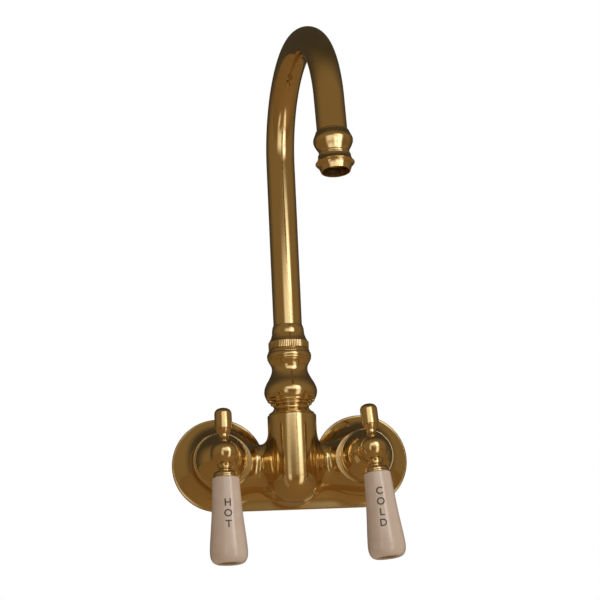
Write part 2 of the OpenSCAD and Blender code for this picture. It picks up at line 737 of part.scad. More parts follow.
module spout_nut() {
    band_low = 0.4;
    band_high = 4.3;
    band_h = band_high - band_low;
    taper_top = 9;
    groove_r = 0.3;
    color(brass) at_column() translate([0, 0, nut_z]) difference() {
        rotate_extrude() polygon(concat(
            [[0, 0], [nut_r, 0], [nut_r, band_low], [nut_r + 0.1, band_low],
                [nut_r, band_high]],
            bow([nut_r, band_high], [nut_collar_r, taper_top], -0.25, 6),
            [[nut_collar_r - 0.3, nut_h - 2.1], [nut_collar_r - 0.8, nut_h - face_gap],
                [0, nut_h - face_gap]]));
        translate([0, 0, -past])
            cylinder(r = nut_thread_r + thread_gap, h = past + thread_top - nut_z);
        cylinder(r = tube_r + running_gap, h = nut_h + past);
        for (i = [1:knurl_count]) rotate([0, 0, i * 360 / knurl_count])
            translate([nut_r + 0.15, 0, band_low + 0.3])
            cylinder(r = groove_r, h = band_h - 0.6, $fn = 16);
    }
}

module rise_and_bend(r) {
    on_spout() {
        translate([0, 0, tube_start]) cylinder(r = r, h = bend_z - tube_start);
        translate([0, -bend_r, bend_z]) rotate([90, 0, 90])
            rotate_extrude(angle = bend_angle) translate([bend_r, 0]) circle(r = r);
    }
}

// The straight tip laps into the bend and is a hair slimmer, so that the two join cleanly
module spout_tube() {
    bore = tube_r - tube_wall;
    tip = lap + tip_len + outlet_socket;
    color(brass) difference() {
        union() {
            rise_and_bend(tube_r);
            along_outlet() translate([0, 0, -lap]) cylinder(r = tube_r - lap_step, h = tip);
        }
        rise_and_bend(bore);
        on_spout() translate([0, 0, tube_start - past]) cylinder(r = bore, h = 2 * past);
        along_outlet() translate([0, 0, -lap]) cylinder(r = bore + lap_step, h = tip + past);
    }
}

module spout_collar() {
    sleeve = 7;
    water_r = 4.9;
    color(bare_brass) on_spout() difference() {
        union() {
            translate([0, 0, spigot_end]) cylinder(r = spigot_r, h = collar_z - spigot_end);
            translate([0, 0, collar_z]) cylinder(r = collar_r, h = collar_t);
            translate([0, 0, collar_z])
                cylinder(r = tube_r - tube_wall - braze_gap, h = collar_t + sleeve);
        }
        translate([0, 0, spigot_end - past]) cylinder(r = water_r, h = thread_top);
        for (level = spigot_rings) translate([0, 0, level - spigot_ring_r - groove_room])
            ring(spigot_r + past, spigot_groove_r, 2 * (spigot_ring_r + groove_room));
    }
}

module spout_bearing_ring() {
    color(nylon) on_spout() translate([0, 0, bearing_z])
        ring(collar_r, tube_r + braze_gap, bearing_t - running_gap);
}

module spout_o_rings() {
    middle = (spigot_groove_r + spigot_bore_r) / 2;
    color(rubber) on_spout()
        for (level = spigot_rings) translate([0, 0, level]) torus(middle, spigot_ring_r);
}

module outlet_fitting() {
    bulb_at = 5.4;
    neck_at = 13;
    lip_at = 19;
    color(brass) along_outlet() translate([0, 0, tip_len]) difference() {
        rotate_extrude() polygon(concat(
            [[0, 0], [tube_r + 0.5, 0]],
            bow([tube_r + 0.5, 0], [bulb_r, bulb_at], -0.9, 8),
            bow([bulb_r, bulb_at], [outlet_neck_r, neck_at], -0.75, 8),
            [[outlet_neck_r + 0.35, neck_at + 0.3], [outlet_neck_r + 0.45, neck_at + 1.1],
                [outlet_neck_r + 0.9, neck_at + 1.3], [outlet_neck_r + 1, neck_at + 2],
                [lip_r, lip_at]],
            bow([lip_r, lip_at], [mouth_r, outlet_len - 0.9], 0.3, 6),
            [[mouth_r, outlet_len], [0, outlet_len]]));
        translate([0, 0, -past]) cylinder(r = tube_r + braze_gap, h = outlet_socket + past);
        cylinder(r = outlet_bore_r, h = outlet_len + past);
        translate([0, 0, outlet_len - mouth_depth])
            cylinder(r = mouth_bore_r, h = mouth_depth + past);
    }
}

body_casting();
inlet_shank(hot);  // hot_inlet_shank
inlet_shank(cold);  // cold_inlet_shank
sealing_washer(hot);  // hot_sealing_washer
sealing_washer(cold);  // cold_sealing_washer
backing_washer(hot);  // hot_backing_washer
backing_washer(cold);  // cold_backing_washer
lock_nut(hot);  // hot_lock_nut
lock_nut(cold);  // cold_lock_nut
cartridge_body(hot);  // hot_cartridge_body
cartridge_body(cold);  // cold_cartridge_body
seat_seal(hot);  // hot_seat_seal
seat_seal(cold);  // cold_seat_seal
fixed_disc(hot);  // hot_fixed_disc
fixed_disc(cold);  // cold_fixed_disc
rotating_disc(hot);  // hot_rotating_disc
rotating_disc(cold);  // cold_rotating_disc
spindle(hot);  // hot_spindle
spindle(cold);  // cold_spindle
spindle_o_rings(hot);  // hot_spindle_o_rings
spindle_o_rings(cold);  // cold_spindle_o_rings
spindle_clip(hot);  // hot_spindle_clip
spindle_clip(cold);  // cold_spindle_clip
bonnet(hot);  // hot_bonnet
bonnet(cold);  // cold_bonnet
handle_hub(hot);  // hot_handle_hub
handle_hub(cold);  // cold_handle_hub
finial(hot);  // hot_finial
finial(cold);  // cold_finial
ferrule(hot);  // hot_ferrule
ferrule(cold);  // cold_ferrule
porcelain_lever(hot);  // hot_porcelain_lever
porcelain_lever(cold);  // cold_porcelain_lever
lever_rod(hot);  // hot_lever_rod
lever_rod(cold);  // cold_lever_rod
end_nut(hot);  // hot_end_nut
end_nut(cold);  // cold_end_nut
baluster_stem();
stem_seal();
spout_nut();
spout_tube();
spout_collar();
spout_bearing_ring();
spout_o_rings();
outlet_fitting();
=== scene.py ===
import json
from math import acos, atan2, cos, pi, radians, sin, sqrt

import bmesh
import bpy
import numpy as np
from mathutils import Matrix, Vector


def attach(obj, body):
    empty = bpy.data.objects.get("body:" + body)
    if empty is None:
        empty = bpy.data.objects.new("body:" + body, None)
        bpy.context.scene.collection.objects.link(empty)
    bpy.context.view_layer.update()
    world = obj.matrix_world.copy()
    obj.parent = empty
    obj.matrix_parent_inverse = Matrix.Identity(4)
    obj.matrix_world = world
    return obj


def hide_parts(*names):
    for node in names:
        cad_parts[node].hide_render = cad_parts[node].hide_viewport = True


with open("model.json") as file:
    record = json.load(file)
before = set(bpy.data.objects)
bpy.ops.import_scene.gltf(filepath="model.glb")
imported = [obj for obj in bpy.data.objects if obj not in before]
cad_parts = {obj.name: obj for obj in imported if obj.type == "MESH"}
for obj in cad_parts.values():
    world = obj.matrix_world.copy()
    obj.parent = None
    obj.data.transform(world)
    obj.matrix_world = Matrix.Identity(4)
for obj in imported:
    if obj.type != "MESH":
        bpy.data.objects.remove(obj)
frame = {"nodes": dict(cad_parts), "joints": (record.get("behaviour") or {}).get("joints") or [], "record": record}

# Shapes are written in millimetres, in the frame of the piece that they belong to
MM = 0.001
# Points nearer than this are one, edges sharper than this stay crisp, and those get this much wear
same_point = 0.001
crisp_angle = radians(35)
wear = 0.1
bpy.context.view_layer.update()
nodes = frame["nodes"]
joints = {j["name"]: j for j in frame["joints"]}
mounts = {m["name"]: m for m in frame["record"]["mounts"]}
slot_of = {s["node"]: s["material_slot"] for s in frame["record"]["subparts"]}

HOT, COLD = -1, 1
SIDES = {HOT: "hot", COLD: "cold"}
inlet_x = joints["cold_valve_turn"]["pos_m"][0] / MM
column_y = -joints["spout_swivel"]["pos_m"][1] / MM
turn_of = {HOT: -joints["hot_valve_turn"]["range_deg"][0],
           COLD: -joints["cold_valve_turn"]["range_deg"][0]}
mouth_at = mounts["outlet_mouth"]["pos_m"]
spout_turn = atan2(mouth_at[0], -mouth_at[1] - column_y * MM)

# Driving sizes of the casting
flange_r = 27.8
flange_edge = 1.8
flange_rim = 0.7
sweep_r = 14
skirt_r = 21.5
notch_reach = 26.1
notch_floor = 4
chamber_r = 16.3
chamber_front = 27
arm_r = 9
arm_y = 13
arm_drop = 5
column_r = 14.4
column_top = 25.5
column_drop = 11
web_bore_r = 6.5
annulus_r = 12.2
cart_thread_r = 10.53
bonnet_thread_r = 12.75
# Steps of the valve rooms, by their distance from the wall
web_front = 11.3
disc_seat = 12.5
annulus_front = 20.3
cart_front = 23.9
# Driving sizes of the inlets
shank_r = 13.2
shank_bore_r = 8.5
shank_len = 45
shank_seat = 8.8
shank_groove = (-19.6, -18)
thread_pitch = 1.814
thread_root_r = 12.5
washer_r = 20
washer_gap = 0.4
thread_gap = 0.05
seal_washer_t = 2.4
wall_t = 8
back_washer_t = 2
lock_nut_t = 8
lock_nut_af = 38
# Driving sizes of the handles
hub_y = 61
ball_r = 8.15
ball_flat_r = 3.9
ball_flat = sqrt(ball_r ** 2 - ball_flat_r ** 2)
hub_neck_r = 5.6
lever_lean = 4.5
lever_start = 14.6
lever_end = 63.8
recess_r = 6
recess_d = 3
rod_room_r = 2.9
end_nut_r = 5.4
bonnet_top = 49.5
bonnet_room = 40.8
# Driving sizes of the column and the spout
nut_z = 64.8
nut_h = 15
nut_thread_r = 10.8
nut_thread_top = 69.1
knurl_depth = 0.35
tube_r = 8.5
tube_wall = 1
tube_start = 67.3
bend_z = 178
bend_r = 57
bend_angle = radians(171.7)
tip_len = 20.5
outlet_len = 23.8
outlet_socket = 8
mouth_bore_r = 7.65
knurl_count = 72
# Words fired into the glaze of the levers
words = {HOT: "HOT", COLD: "COLD"}
word_start = {HOT: 30.1, COLD: 26.4}
word_turn = {HOT: 0, COLD: -8}
letter_h = 4.3
letter_pitch = 6.2
letter_swell = 0.12


def turn(degrees, axis):
    return Matrix.Rotation(radians(degrees), 4, axis)


def shift(x, y, z):
    return Matrix.Translation((x, y, z))


def along_valve(side):
    return shift(side * inlet_x, 0, 0) @ turn(90, "X")


def on_handle(side):
    return along_valve(side) @ turn(turn_of[side], "Z")


def along_lever(side):
    return on_handle(side) @ shift(0, 0, hub_y) @ turn(90 - lever_lean, "X")


at_column = shift(0, -column_y, 0)
on_spout = at_column @ Matrix.Rotation(spout_turn, 4, "Z")
along_outlet = (on_spout @ shift(0, -bend_r + bend_r * cos(bend_angle), bend_z + bend_r * sin(bend_angle))
                @ Matrix.Rotation(bend_angle, 4, "X"))


def curve(*points, steps=6):
    """A smooth line through the points, without its first one."""
    p = [Vector(q) for q in points]
    p = [2 * p[0] - p[1]] + p + [2 * p[-1] - p[-2]]
    line = []
    for a, b, c, d in zip(p, p[1:], p[2:], p[3:]):
        for i in range(1, steps + 1):
            t = i / steps
            line.append(tuple(0.5 * (2 * b + (c - a) * t + (2 * a - 5 * b + 4 * c - d) * t * t
                                     + (3 * b - a - 3 * c + d) * t ** 3)))
    return line


def smooth(*points, steps=6):
    """A smooth line through the points."""
    return [tuple(points[0])] + curve(*points, steps=steps)


def lathe(bm, outline, steps=128):
    """Turns an outline of radius and height round the Z axis. A closed outline repeats its first point."""
    verts = [bm.verts.new((r, 0, z)) for r, z in outline]
    edges = [bm.edges.new(pair) for pair in zip(verts, verts[1:])]
    bmesh.ops.spin(bm, geom=verts + edges, cent=(0, 0, 0), axis=(0, 0, 1), dvec=(0, 0, 0), angle=2 * pi,
                   steps=steps, use_merge=True, use_normal_flip=False, use_duplicate=False)
    bmesh.ops.remove_doubles(bm, verts=bm.verts, dist=same_point)


def faces_of(geom):
    return [g for g in geom if isinstance(g, bmesh.types.BMFace)]


def verts_of(geom):
    return [g for g in geom if isinstance(g, bmesh.types.BMVert)]


def as_object(bm, name):
    """Turns a bmesh into an object of the scene."""
    mesh = bpy.data.meshes.new(name)
    bm.to_mesh(mesh)
    bm.free()
    made = bpy.data.objects.new(name, mesh)
    bpy.context.scene.collection.objects.link(made)
    return made


def taken_back(made):
    """Turns an object into a bmesh."""
    bm = bmesh.new()
    bm.from_mesh(made.data)
    bpy.data.objects.remove(made)
    return bm


def finished(bm, name, body, place, slot, stands_for=None, edge=wear):
    """Makes a bmesh in millimetres an object in the row frame, which rides on a body."""
    bmesh.ops.remove_doubles(bm, verts=bm.verts, dist=same_point)
    bmesh.ops.recalc_face_normals(bm, faces=bm.faces)
    bm.transform(Matrix.Scale(MM, 4) @ place)
    made = as_object(bm, name)
    made.data.shade_smooth()
    made.data.set_sharp_from_angle(angle=crisp_angle)
    made.data.materials.append(finish[slot])
    if edge:
        rounding = made.modifiers.new("worn edges", "BEVEL")
        rounding.width = edge * MM
        rounding.segments = 2
        rounding.limit_method = "ANGLE"
        rounding.angle_limit = crisp_angle
        rounding.harden_normals = True
    else:
        made.modifiers.new("even shading", "WEIGHTED_NORMAL").keep_sharp = True
    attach(made, body)
    if stands_for:
        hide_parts(stands_for)
    return made


def turned(name, body, place, outline, stands_for, steps=128, edge=wear):
    """A solid of revolution: its closed outline is given without the first point again."""
    bm = bmesh.new()
    on_axis = abs(outline[0][0]) < same_point and abs(outline[-1][0]) < same_point
    lathe(bm, outline if on_axis else list(outline) + [outline[0]], steps)
    return finished(bm, name, body, place, slot_of[stands_for], stands_for, edge=edge)


def block(bm, low, high):
    """A box between two corners."""
    low, high = Vector(low), Vector(high)
    middle = Matrix.Translation((low + high) / 2)
    bmesh.ops.create_cube(bm, size=1, matrix=middle @ Matrix.Diagonal((*(high - low), 1)))


def baked(made):
    """Applies an object's modifiers."""
    seen = made.evaluated_get(bpy.context.evaluated_depsgraph_get())
    made.data = bpy.data.meshes.new_from_object(seen)
    made.modifiers.clear()


def shaped(made, tool, operation):
    """Cuts, joins or limits an object with a tool object, which is then gone."""
    step = made.modifiers.new(operation.lower(), "BOOLEAN")
    step.operation, step.solver, step.object = operation, "EXACT", tool
    baked(made)
    bpy.data.objects.remove(tool)


def carved(bm, name, *steps):
    """A bmesh after Boolean steps, each given as a tool and its operation."""
    body = as_object(bm, name)
    for tool, operation in steps:
        shaped(body, tool, operation)
    return taken_back(body)


# Materials

def linear(code):
    """An sRGB hex colour as linear values."""
    parts = [int(code[i:i + 2], 16) / 255 for i in (1, 3, 5)]
    return (*[c / 12.92 if c <= 0.04045 else ((c + 0.055) / 1.055) ** 2.4 for c in parts], 1)


def add(tree, kind, links=(), **settings):
    """Adds a node: settings by name, and links as {socket: value or (node, output)}."""
    node = tree.nodes.new("ShaderNode" + kind)
    for key, value in settings.items():
        setattr(node, key, value)
    for socket, value in dict(links).items():
        if isinstance(value, tuple) and isinstance(value[0], bpy.types.Node):
            tree.links.new(value[0].outputs[value[1]], node.inputs[socket])
        else:
            node.inputs[socket].default_value = value
    return node


def bare_tree(owner):
    """The empty node tree of a material or a world."""
    owner.use_nodes = True
    owner.node_tree.nodes.clear()
    return owner.node_tree


def new_material(name):
    material = bpy.data.materials.new(name)
    tree = bare_tree(material)
    place = add(tree, "TexCoord")
    shader = add(tree, "BsdfPrincipled")
    add(tree, "OutputMaterial", {"Surface": (shader, "BSDF")})
    return material, tree, (place, "Object"), shader


def ripple(tree, place, size_mm, height_mm, shader, detail=2.0):
    """Bumps of a given width and height in millimetres."""
    noise = add(tree, "TexNoise", {"Vector": place, "Scale": 1 / (size_mm * MM), "Detail": detail})
    bump = add(tree, "Bump", {"Height": (noise, "Fac"), "Distance": height_mm * MM, "Strength": 1.0})
    tree.links.new(bump.outputs["Normal"], shader.inputs["Normal"])


def varied(tree, place, size_mm, low, high, shader):
    """A roughness that drifts between two limits over patches of a given size."""
    noise = add(tree, "TexNoise", {"Vector": place, "Scale": 1 / (size_mm * MM), "Detail": 3.0})
    spread = add(tree, "MapRange", {"Value": (noise, "Fac"), "From Min": 0.3, "From Max": 0.7,
                                    "To Min": low, "To Max": high})
    tree.links.new(spread.outputs["Result"], shader.inputs["Roughness"])


def two_tones(tree, place, size_mm, first, second, shader):
    """A colour that drifts between two near tones."""
    noise = add(tree, "TexNoise", {"Vector": place, "Scale": 1 / (size_mm * MM), "Detail": 4.0})
    ramp = add(tree, "ValToRGB", {"Fac": (noise, "Fac")})
    for tone, position, code in zip(ramp.color_ramp.elements, (0.35, 0.65), (first, second)):
        tone.position, tone.color = position, linear(code)
    tree.links.new(ramp.outputs["Color"], shader.inputs["Base Color"])


def polished_brass():
    # Cast and turned brass, buffed to a mirror and lacquered: clear reflections that waver a little,
    # because buffing by hand leaves the cast skin slightly wavy, under a thin clear coat
    material, tree, place, shader = new_material("lacquered_polished_brass")
    shader.inputs["Metallic"].default_value = 1.0
    shader.inputs["Coat Weight"].default_value = 0.15
    shader.inputs["Coat Roughness"].default_value = 0.05
    two_tones(tree, place, 24, "#DEC38D", "#E2C894", shader)
    varied(tree, place, 9, 0.09, 0.15, shader)
    ripple(tree, place, 14, 0.02, shader, detail=0.0)
    return material


def bare_brass():
    # Machined brass without lacquer: duller and paler, with the fine grain of the cutting tool
    material, tree, place, shader = new_material("machined_brass")
    shader.inputs["Metallic"].default_value = 1.0
    two_tones(tree, place, 6, "#B8955A", "#C7A468", shader)
    varied(tree, place, 2, 0.28, 0.42, shader)
    ripple(tree, place, 0.4, 0.01, shader)
    return material


def porcelain():
    # Slip cast porcelain under a clear gloss glaze: warm white, with faint clouding of the glaze
    material, tree, place, shader = new_material("glazed_porcelain")
    shader.inputs["IOR"].default_value = 1.52
    shader.inputs["Coat Weight"].default_value = 0.6
    shader.inputs["Coat Roughness"].default_value = 0.04
    two_tones(tree, place, 8, "#CCB6A5", "#D1BDAD", shader)
    varied(tree, place, 5, 0.1, 0.18, shader)
    ripple(tree, place, 6, 0.015, shader, detail=1.0)
    return material


def fired_marks():
    # Ceramic ink fired into the glaze: dark grey, a little uneven where the ink is thin
    material, tree, place, shader = new_material("fired_ceramic_ink")
    two_tones(tree, place, 0.5, "#3A3532", "#57504B", shader)
    varied(tree, place, 1, 0.2, 0.35, shader)
    return material


def rubber():
    # Moulded nitrile rubber: matte black with a fine grain
    material, tree, place, shader = new_material("moulded_rubber")
    shader.inputs["IOR"].default_value = 1.52
    two_tones(tree, place, 3, "#1A1A1C", "#232326", shader)
    varied(tree, place, 1.5, 0.6, 0.8, shader)
    ripple(tree, place, 0.3, 0.01, shader)
    return material


def disc_ceramic():
    # Sintered alumina lapped fine: off-white with a silky sheen
    material, tree, place, shader = new_material("lapped_alumina")
    shader.inputs["IOR"].default_value = 1.76
    two_tones(tree, place, 2, "#EFEEE8", "#F6F5F0", shader)
    varied(tree, place, 1, 0.22, 0.32, shader)
    return material


def nylon():
    # Moulded nylon: cream, slightly waxy, faintly mottled
    material, tree, place, shader = new_material("moulded_nylon")
    shader.inputs["IOR"].default_value = 1.53
    two_tones(tree, place, 5, "#E4E0D2", "#ECE9DD", shader)
    varied(tree, place, 2, 0.4, 0.52, shader)
    ripple(tree, place, 0.5, 0.01, shader)
    return material


def spring_steel():
    # Stamped spring steel, barrelled bright: a grey mirror with a faint haze
    material, tree, place, shader = new_material("bright_spring_steel")
    shader.inputs["Metallic"].default_value = 1.0
    two_tones(tree, place, 3, "#A7A9AD", "#B4B6BA", shader)
    varied(tree, place, 1, 0.2, 0.32, shader)
    return material


finish = {"polished_brass": polished_brass(), "bare_brass": bare_brass(), "porcelain": porcelain(),
          "rubber": rubber(), "disc_ceramic": disc_ceramic(), "nylon": nylon(),
          "spring_steel": spring_steel()}
ink = fired_marks()
for name, node in nodes.items():
    node.data.materials.clear()
    node.data.materials.append(finish[slot_of[name]])


# Casting

# The concave sweep starts at the flange edge and meets the chamber wall at this distance from the wall
sweep_top = flange_edge + sqrt(sweep_r ** 2 - (chamber_r + sweep_r - flange_r) ** 2)
slope = cos(radians(45))
# The skin of the casting is drawn with this spacing, and starts this far in front of the wall
skin_spacing = 0.55
skin_start = 0.5


def flange(inset, back, front, rounding=0):
    """The flange's outline as a plate between two distances from the wall."""
    r, reach, floor_z = flange_r - inset, notch_reach - inset, notch_floor - inset
    corner = radians(45) - acos(reach / r)
    floor_x = inlet_x - (reach - floor_z * slope) / slope
    bm = bmesh.new()
    first = bm.verts.new((-inlet_x, -back, -r))
    bmesh.ops.spin(bm, geom=[first], cent=(-inlet_x, -back, 0), axis=(0, 1, 0), dvec=(0, 0, 0),
                   angle=1.5 * pi - corner, steps=96)
    half = list(bm.verts) + [bm.verts.new((-floor_x, -back, floor_z))]
    other = [bm.verts.new((-v.co.x, -back, v.co.z)) for v in reversed(half)]
    plate = bm.faces.new(half + other)
    front_face = bmesh.ops.extrude_face_region(bm, geom=[plate], use_keep_orig=True)["geom"]
    bmesh.ops.translate(bm, verts=verts_of(front_face), vec=(0, back - front, 0))
    if rounding:
        rim = [e for e in bm.edges if abs(e.verts[0].co.y - e.verts[1].co.y) < same_point]
        bmesh.ops.bevel(bm, geom=rim, affect="EDGES", offset=rounding, segments=5, profile=0.5,
                        material=-1, clamp_overlap=True)
    bmesh.ops.recalc_face_normals(bm, faces=bm.faces)
    return bm


def rod(bm, r, start, length, way=Matrix()):
    """A round bar from a start point upwards, unless it is turned another way."""
    place = shift(*start) @ way @ shift(0, 0, length / 2)
    bmesh.ops.create_cone(bm, cap_ends=True, segments=64, radius1=r, radius2=r, depth=length, matrix=place)


def placed(bm, place):
    """Moves the parts of a bmesh that no earlier call has moved."""
    fresh = [v for v in bm.verts if not v.tag]
    bmesh.ops.transform(bm, matrix=place, verts=fresh)
    for v in fresh:
        v.tag = True


def rough_casting():
    """The main solids of the casting, a little too long, which the skin is drawn over."""
    lower_sweep = smooth((chamber_r + sweep_r, flange_edge), (22, 4.2), (18, 8.7), (chamber_r, sweep_top))
    bm = bmesh.new()
    for side in SIDES:
        lathe(bm, [(0, -3), (33, -3), (33, flange_edge)] + lower_sweep + [(chamber_r, 30), (0, 30)], 64)
        placed(bm, along_valve(side))
    block(bm, (-76, 3, -33), (76, -flange_edge, 33))
    block(bm, (-inlet_x, 0, -15), (inlet_x, -8, 0))
    block(bm, (-inlet_x, 0, -1), (inlet_x, -5, notch_floor - 0.5))
    rod(bm, arm_r, (-inlet_x, -arm_y, 0), 2 * inlet_x, turn(90, "Y"))
    rod(bm, arm_r, (-inlet_x, -arm_y, -arm_drop), 2 * inlet_x, turn(90, "Y"))
    block(bm, (-inlet_x, -5, -arm_drop), (inlet_x, -arm_y - arm_r, 0))
    rod(bm, column_r, (0, -column_y, -column_drop - column_r / 2), column_drop + column_r / 2 + 30)
    block(bm, (-column_r, 0, -20), (column_r, -column_y, notch_floor))
    return bm


def concave(across, out, radius, across_centre, out_centre):
    """How far points lie outside a solid whose surface is a concave quarter circle with straight ends."""
    return radius - np.hypot(np.maximum(across_centre - across, 0), np.maximum(out_centre - out, 0))


def fillet(a, b, width):
    """The union of two solids with a soft cast fillet between them."""
    share = np.clip(0.5 + 0.5 * (b - a) / width, 0, 1)
    return b + (a - b) * share - width * share * (1 - share)


def casting_form(points):
    """How far points lie outside the cast form, in millimetres."""
    x, out, z = points[:, 0], -points[:, 1], points[:, 2]
    # Fillets are crisp at the flange and reach their full width 6 mm in front of the wall
    crisp, soft = 0.3, np.clip((out - 2) / 4, 0, 1)
    forms = []
    for side in SIDES:
        inwards = inlet_x - side * x
        forms.append(concave(np.hypot(inwards, z), out, sweep_r, chamber_r + sweep_r, sweep_top))
        along, above = (inwards - z) * slope, (inwards + z) * slope
        above = np.hypot(above, np.minimum(along, 0))
        notch = concave(above, out, sweep_r, chamber_r + sweep_r, sweep_top)
        forms.append(np.maximum.reduce([notch, -z, out - arm_y]))
    sheet = np.minimum.reduce(forms)
    skirt = concave(-z, out, skirt_r, flange_r, flange_edge - flange_rim + skirt_r)
    skirt = np.maximum.reduce([skirt, z, out - arm_y, np.abs(x) - inlet_x])
    arm = np.hypot(out - arm_y, np.maximum(z, 0) + np.minimum(z + arm_drop, 0)) - arm_r
    arm = np.maximum(arm, np.abs(x) - inlet_x)
    below = np.minimum(z + column_drop, 0)
    column = np.sqrt(x ** 2 + (out - column_y) ** 2 + below ** 2) - column_r
    web = np.maximum.reduce([np.hypot(x, below) - column_r, z - notch_floor, out - column_y])
    form = fillet(sheet, skirt, crisp + 6 * soft)
    form = fillet(form, arm, crisp + 12 * soft)
    form = fillet(form, np.minimum(column, web), crisp + 10 * soft)
    return fillet(form, out - flange_edge, crisp)


def drawn_skin(mesh):
    """Draws the front of a voxel skin onto the cast form, with even spacing along the surface."""
    points = np.empty(len(mesh.vertices) * 3)
    mesh.vertices.foreach_get("co", points)
    points = points.reshape(-1, 3)
    pairs = np.empty(len(mesh.edges) * 2, int)
    mesh.edges.foreach_get("vertices", pairs)
    pairs = pairs.reshape(-1, 2)
    front = points[:, 1] < -0.6
    count = np.bincount(pairs.ravel(), minlength=len(points))[:, None]
    # Ten rounds spread the points evenly and draw them in, four more only draw them in
    step, spreading, rounds = 0.02, 10, 14
    for stage in range(rounds):
        if stage < spreading:
            near = np.zeros_like(points)
            np.add.at(near, pairs[:, 0], points[pairs[:, 1]])
            np.add.at(near, pairs[:, 1], points[pairs[:, 0]])
            points[front] += 0.5 * (near / count - points)[front]
        value = casting_form(points)
        rise = np.stack([casting_form(points + step * axis) - casting_form(points - step * axis)
                         for axis in np.eye(3)], axis=1) / (2 * step)
        move = -value[:, None] * rise / np.maximum((rise ** 2).sum(1), 0.2)[:, None]
        points[front] += np.clip(move, -1, 1)[front]
    mesh.vertices.foreach_set("co", points.ravel())
    mesh.update()


def casting():
    skin = as_object(rough_casting(), "skin")
    net = skin.modifiers.new("net", "REMESH")
    net.mode, net.voxel_size = "VOXEL", skin_spacing
    baked(skin)
    drawn_skin(skin.data)
    # The skin is kept within the flange's outline near the wall and everywhere in front of it
    kept = as_object(flange(flange_rim, skin_start, 4), "kept")
    bm = bmesh.new()
    block(bm, (-80, -3.2, -40), (80, -60, 40))
    shaped(kept, as_object(bm, "front_room"), "UNION")
    # From the back: washer recess, shank, waterway, seat, cartridge, bonnet thread and the rounded front edge
    front = chamber_front
    edge_r = chamber_r - 0.3
    valve_room = ([(0, -5), (washer_r + washer_gap, -5), (washer_r + washer_gap, seal_washer_t),
                   (shank_r + thread_gap, seal_washer_t), (shank_r + thread_gap, shank_seat),
                   (web_bore_r, shank_seat), (web_bore_r, web_front), (cart_thread_r, web_front),
                   (cart_thread_r, disc_seat),
                   (annulus_r, disc_seat), (annulus_r, annulus_front), (cart_thread_r, annulus_front),
                   (cart_thread_r, cart_front), (bonnet_thread_r, cart_front), (bonnet_thread_r, front),
                   (edge_r, front)]
                  + curve((edge_r, front), (chamber_r - 0.1, front - 0.1), (chamber_r + 0.05, front - 0.35))
                  + [(23, front - 0.35), (23, 60), (0, 60)])
    # The stem's thread and the rounded top edge of the column
    top = column_top
    stem_room = ([(0, 13), (9.45, 13), (9.45, top), (column_r - 0.5, top)]
                 + curve((column_r - 0.5, top), (column_r - 0.15, top - 0.15), (column_r + 0.05, top - 0.6))
                 + [(20, top - 0.6), (20, 40), (0, 40)])
    rooms = bmesh.new()
    for side in SIDES:
        lathe(rooms, valve_room, 128)
        placed(rooms, along_valve(side))
    lathe(rooms, stem_room, 128)
    placed(rooms, at_column)
    # Two core pockets in the back
    for side in SIDES:
        block(rooms, (side * 10 - 7, 5, -10), (side * 10 + 7, -5, 2))
    bmesh.ops.recalc_face_normals(rooms, faces=rooms.faces)
    bm = carved(taken_back(skin), "cast_body", (kept, "INTERSECT"),
                (as_object(flange(0, 0, flange_edge, flange_rim), "rim"), "UNION"),
                (as_object(rooms, "rooms"), "DIFFERENCE"))
    finished(bm, "cast_body", "fixed_body", Matrix(), "polished_brass", "body_casting", edge=0)


casting()


# Inlet shanks, washers and lock nuts behind the flange

def inlet_shank(side):
    around = 48
    groove_start, groove_end = shank_groove
    bm = bmesh.new()
    for start, end in ((-shank_len + 0.9, groove_start - 0.5), (groove_end + 0.6, -0.6)):
        turns = (end - start) / thread_pitch
        foot_r = thread_root_r - 0.2
        corners = [(foot_r, -0.75), (shank_r, -0.16), (shank_r, 0.16), (foot_r, 0.75)]
        ridge = bm.faces.new([bm.verts.new((r, 0, start + z)) for r, z in corners])
        bmesh.ops.spin(bm, geom=[ridge] + list(ridge.edges) + list(ridge.verts), cent=(0, 0, 0),
                       axis=(0, 0, 1), dvec=(0, 0, thread_pitch / around), angle=2 * pi * turns,
                       steps=round(around * turns))
    bmesh.ops.holes_fill(bm, edges=[e for e in bm.edges if e.is_boundary], sides=4)
    lathe(bm, [(shank_bore_r, -shank_len + 0.5), (9, -shank_len), (11.9, -shank_len),
               (thread_root_r, -shank_len + 0.6), (thread_root_r, groove_start), (12.4, groove_start),
               (12.4, groove_end), (thread_root_r, groove_end), (thread_root_r, 0), (shank_r, 0),
               (shank_r, shank_seat), (shank_bore_r, shank_seat), (shank_bore_r, -shank_len + 0.5)], 96)
    finished(bm, f"{SIDES[side]}_threaded_shank", "fixed_body", along_valve(side), "bare_brass",
             f"{SIDES[side]}_inlet_shank", edge=0)


def washers(side):
    bore = shank_r + washer_gap
    rib = 0.35
    turned(f"{SIDES[side]}_ribbed_seal", "fixed_body", along_valve(side),
           [(bore, 0), (bore, seal_washer_t), (washer_r, seal_washer_t), (washer_r, 0.3), (washer_r - 0.3, 0),
            (18.2, 0), (17.9, rib), (17.2, rib), (16.9, 0), (15.9, 0), (15.6, rib), (14.9, rib), (14.6, 0)],
           f"{SIDES[side]}_sealing_washer", steps=96)
    back = -wall_t - back_washer_t
    turned(f"{SIDES[side]}_stiff_washer", "fixed_body", along_valve(side),
           [(bore, back), (bore, -wall_t), (washer_r, -wall_t), (washer_r, back)],
           f"{SIDES[side]}_backing_washer", steps=96, edge=0.3)


